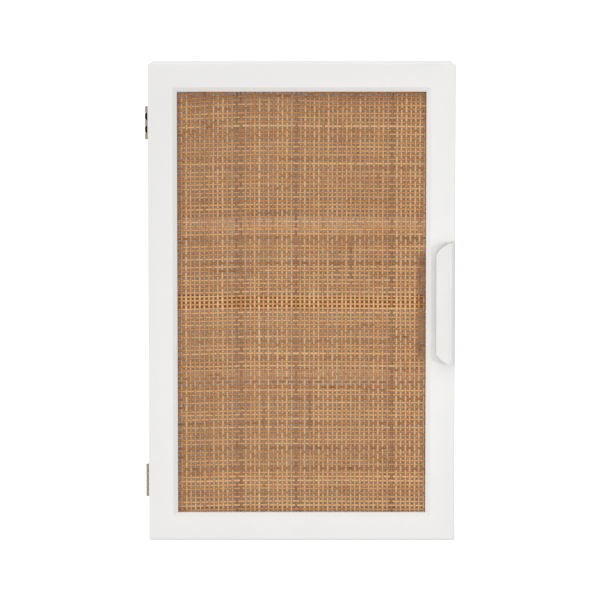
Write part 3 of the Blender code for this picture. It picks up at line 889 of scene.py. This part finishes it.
def screws(material):
    """Stands a cross-headed screw in the place of each plain one; those of one length share a mesh."""
    shapes = {}
    for body, names in frame["record"]["behaviour"]["bodies"].items():
        for name in names:
            if "screw" not in name:
                continue
            points = [vertex.co for vertex in frame["nodes"][name].data.vertices]
            low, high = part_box(name)
            size = high - low
            along = max(range(3), key=lambda i: size[i])
            middle = (low + high) / 2
            head = max(points, key=lambda p: (p - middle).length_squared)
            outward = Vector((0, 0, 0))
            outward[along] = 1.0 if head[along] > middle[along] else -1.0
            key = round(size[along], 4)
            if key not in shapes:
                shapes[key] = screw_shape(size[along], min(size) / 2, material)
            made = bpy.data.objects.new(name + "_cross_head", shapes[key])
            made.location = middle + outward * size[along] / 2
            made.rotation_euler = outward.to_track_quat("Z", "Y").to_euler()
            bpy.context.scene.collection.objects.link(made)
            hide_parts(name)
            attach(made, body)


# ---------------------------------------------------------------- finishes on the carried-over nodes


def dress(finishes):
    """Gives every CAD node that stays its own finish, or else the finish of its material slot."""
    for entry in frame["record"]["subparts"]:
        node = frame["nodes"][entry["node"]]
        if node.hide_render:
            continue
        finish = finishes.get(entry["node"]) or finishes[entry["material_slot"]]
        node.data.materials.clear()
        node.data.materials.append(finish)


# ---------------------------------------------------------------- stage


def stage_floor():
    """A wide plain floor at Z 0, which diffuse rays don't see."""
    bm = bmesh.new()
    bmesh.ops.create_grid(bm, x_segments=1, y_segments=1, size=FLOOR_SIZE)
    floor = mesh_object("floor", bm, floor_finish())
    floor.visible_diffuse = False


def world_light():
    """A pale room that is brighter on the left than on the right and a little brighter above."""
    world = bpy.data.worlds.new("pale_room")
    bpy.context.scene.world = world
    world.use_nodes = True
    tree = world.node_tree
    background = tree.nodes["Background"]
    where = tree.nodes.new("ShaderNodeTexCoord")
    lean = tree.nodes.new("ShaderNodeVectorMath")
    lean.operation = "DOT_PRODUCT"
    lean.inputs[1].default_value = (-ROOM_LEFT_GAIN, 0.0, ROOM_TOP_GAIN)
    tree.links.new(where.outputs["Generated"], lean.inputs[0])
    level = tree.nodes.new("ShaderNodeMath")
    level.operation = "ADD"
    level.inputs[1].default_value = ROOM_LEVEL
    tree.links.new(lean.outputs["Value"], level.inputs[0])
    tree.links.new(level.outputs[0], background.inputs["Strength"])
    background.inputs["Color"].default_value = (1.0, 1.0, 1.0, 1.0)


def lamp(name, place, size, power):
    """A round white area lamp that the camera doesn't see."""
    data = bpy.data.lights.new(name, "AREA")
    data.shape = "DISK"
    data.size = size
    data.energy = power
    made = bpy.data.objects.new(name, data)
    made.location = place
    aim = Vector(LAMP_TARGET) - Vector(place)
    made.rotation_euler = aim.to_track_quat("-Z", "Y").to_euler()
    made.visible_camera = False
    bpy.context.scene.collection.objects.link(made)


def lamps():
    """One lamp at the right, which gives the pull its shade, and a weak one low in front."""
    lamp("side_right", SIDE_LAMP_PLACE, SIDE_LAMP_SIZE, SIDE_LAMP_POWER)
    lamp("low_front", LOW_LAMP_PLACE, LOW_LAMP_SIZE, LOW_LAMP_POWER)


def camera():
    """Looks at the door from slightly above; the shift only centres the cabinet."""
    front = door_box()[0].y
    data = bpy.data.cameras.new("camera")
    data.lens = CAMERA_LENS
    data.sensor_width = SENSOR_WIDTH
    data.shift_x = CAMERA_SHIFT_X
    made = bpy.data.objects.new("camera", data)
    made.location = (0.0, front - CAMERA_DISTANCE, CAMERA_HEIGHT)
    aim = Vector((0.0, front, CAMERA_AIM)) - made.location
    made.rotation_euler = aim.to_track_quat("-Z", "Y").to_euler()
    data.clip_end = FAR_CLIP
    bpy.context.scene.collection.objects.link(made)
    bpy.context.scene.camera = made


def make_finishes():
    """One finish for each material slot, and for some nodes one of their own."""
    finishes = {
        "white_paint": paint("white_paint_finish", FRONT_WHITE),
        "back_board": paint("back_board_finish", INSIDE_WHITE_PAINTED_LIGHT, BACK_ROUGHNESS, INSIDE_GLOW),
        "pull_paint": paint("pull_paint_finish", PULL_WHITE, PULL_ROUGHNESS),
        "bar_wood": bare_wood("bar_wood_finish", BAR_LIGHT, BAR_DARK),
        "nickel": metal("nickel_finish", NICKEL, NICKEL_DULL, NICKEL_ROUGHNESS),
        "small_steel": metal("small_steel_finish", STEEL, STEEL_DULL, STEEL_ROUGHNESS),
        "magnet_steel": metal("magnet_finish", MAGNET, MAGNET_DULL, MAGNET_ROUGHNESS),
        "white_plastic": moulded("white_plastic_finish", PLASTIC, PLASTIC_ROUGHNESS),
        "bumper_rubber": moulded("bumper_finish", RUBBER, RUBBER_ROUGHNESS),
    }
    for name in ("upper_shelf", "lower_shelf"):
        finishes[name] = paint(name + "_finish", INSIDE_WHITE_PAINTED_LIGHT, SHELF_ROUGHNESS, INSIDE_GLOW)
    for name in ("side_panel_left", "side_panel_right", "bottom_panel"):
        finishes[name] = paint(name + "_finish", SIDE_WHITE)
    # the barrel of the upper door leaf and of both pins is painted nearly black; on the pins that is
    # painted shade in the gaps between knuckles
    barrel_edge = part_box("hinge_upper_carcass_leaf")[0].x + BARREL_WIDTH
    blackened = metal("black_barrel_nickel_finish", NICKEL, NICKEL_DULL, BARREL_BLACK_ROUGHNESS, barrel_edge)
    for name in ("hinge_upper_door_leaf", "hinge_upper_pin", "hinge_lower_pin"):
        finishes[name] = blackened
    return finishes


def door_opening():
    """The two corners of the opening that the door's members leave, at Y 0."""
    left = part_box("door_left_stile")[1].x
    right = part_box("door_right_stile")[0].x
    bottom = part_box("door_bottom_rail")[1].z
    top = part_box("door_top_rail")[0].z
    return Vector((left, 0, bottom)), Vector((right, 0, top))


def main():
    finishes = make_finishes()
    door_frame(finishes["white_paint"])
    weave(*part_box("cane_panel"), door_opening())
    pull(finishes["pull_paint"])
    screws(finishes["small_steel"])
    dress(finishes)
    stage_floor()
    world_light()
    lamps()
    camera()
    bpy.context.scene.view_settings.view_transform = "Standard"


main()
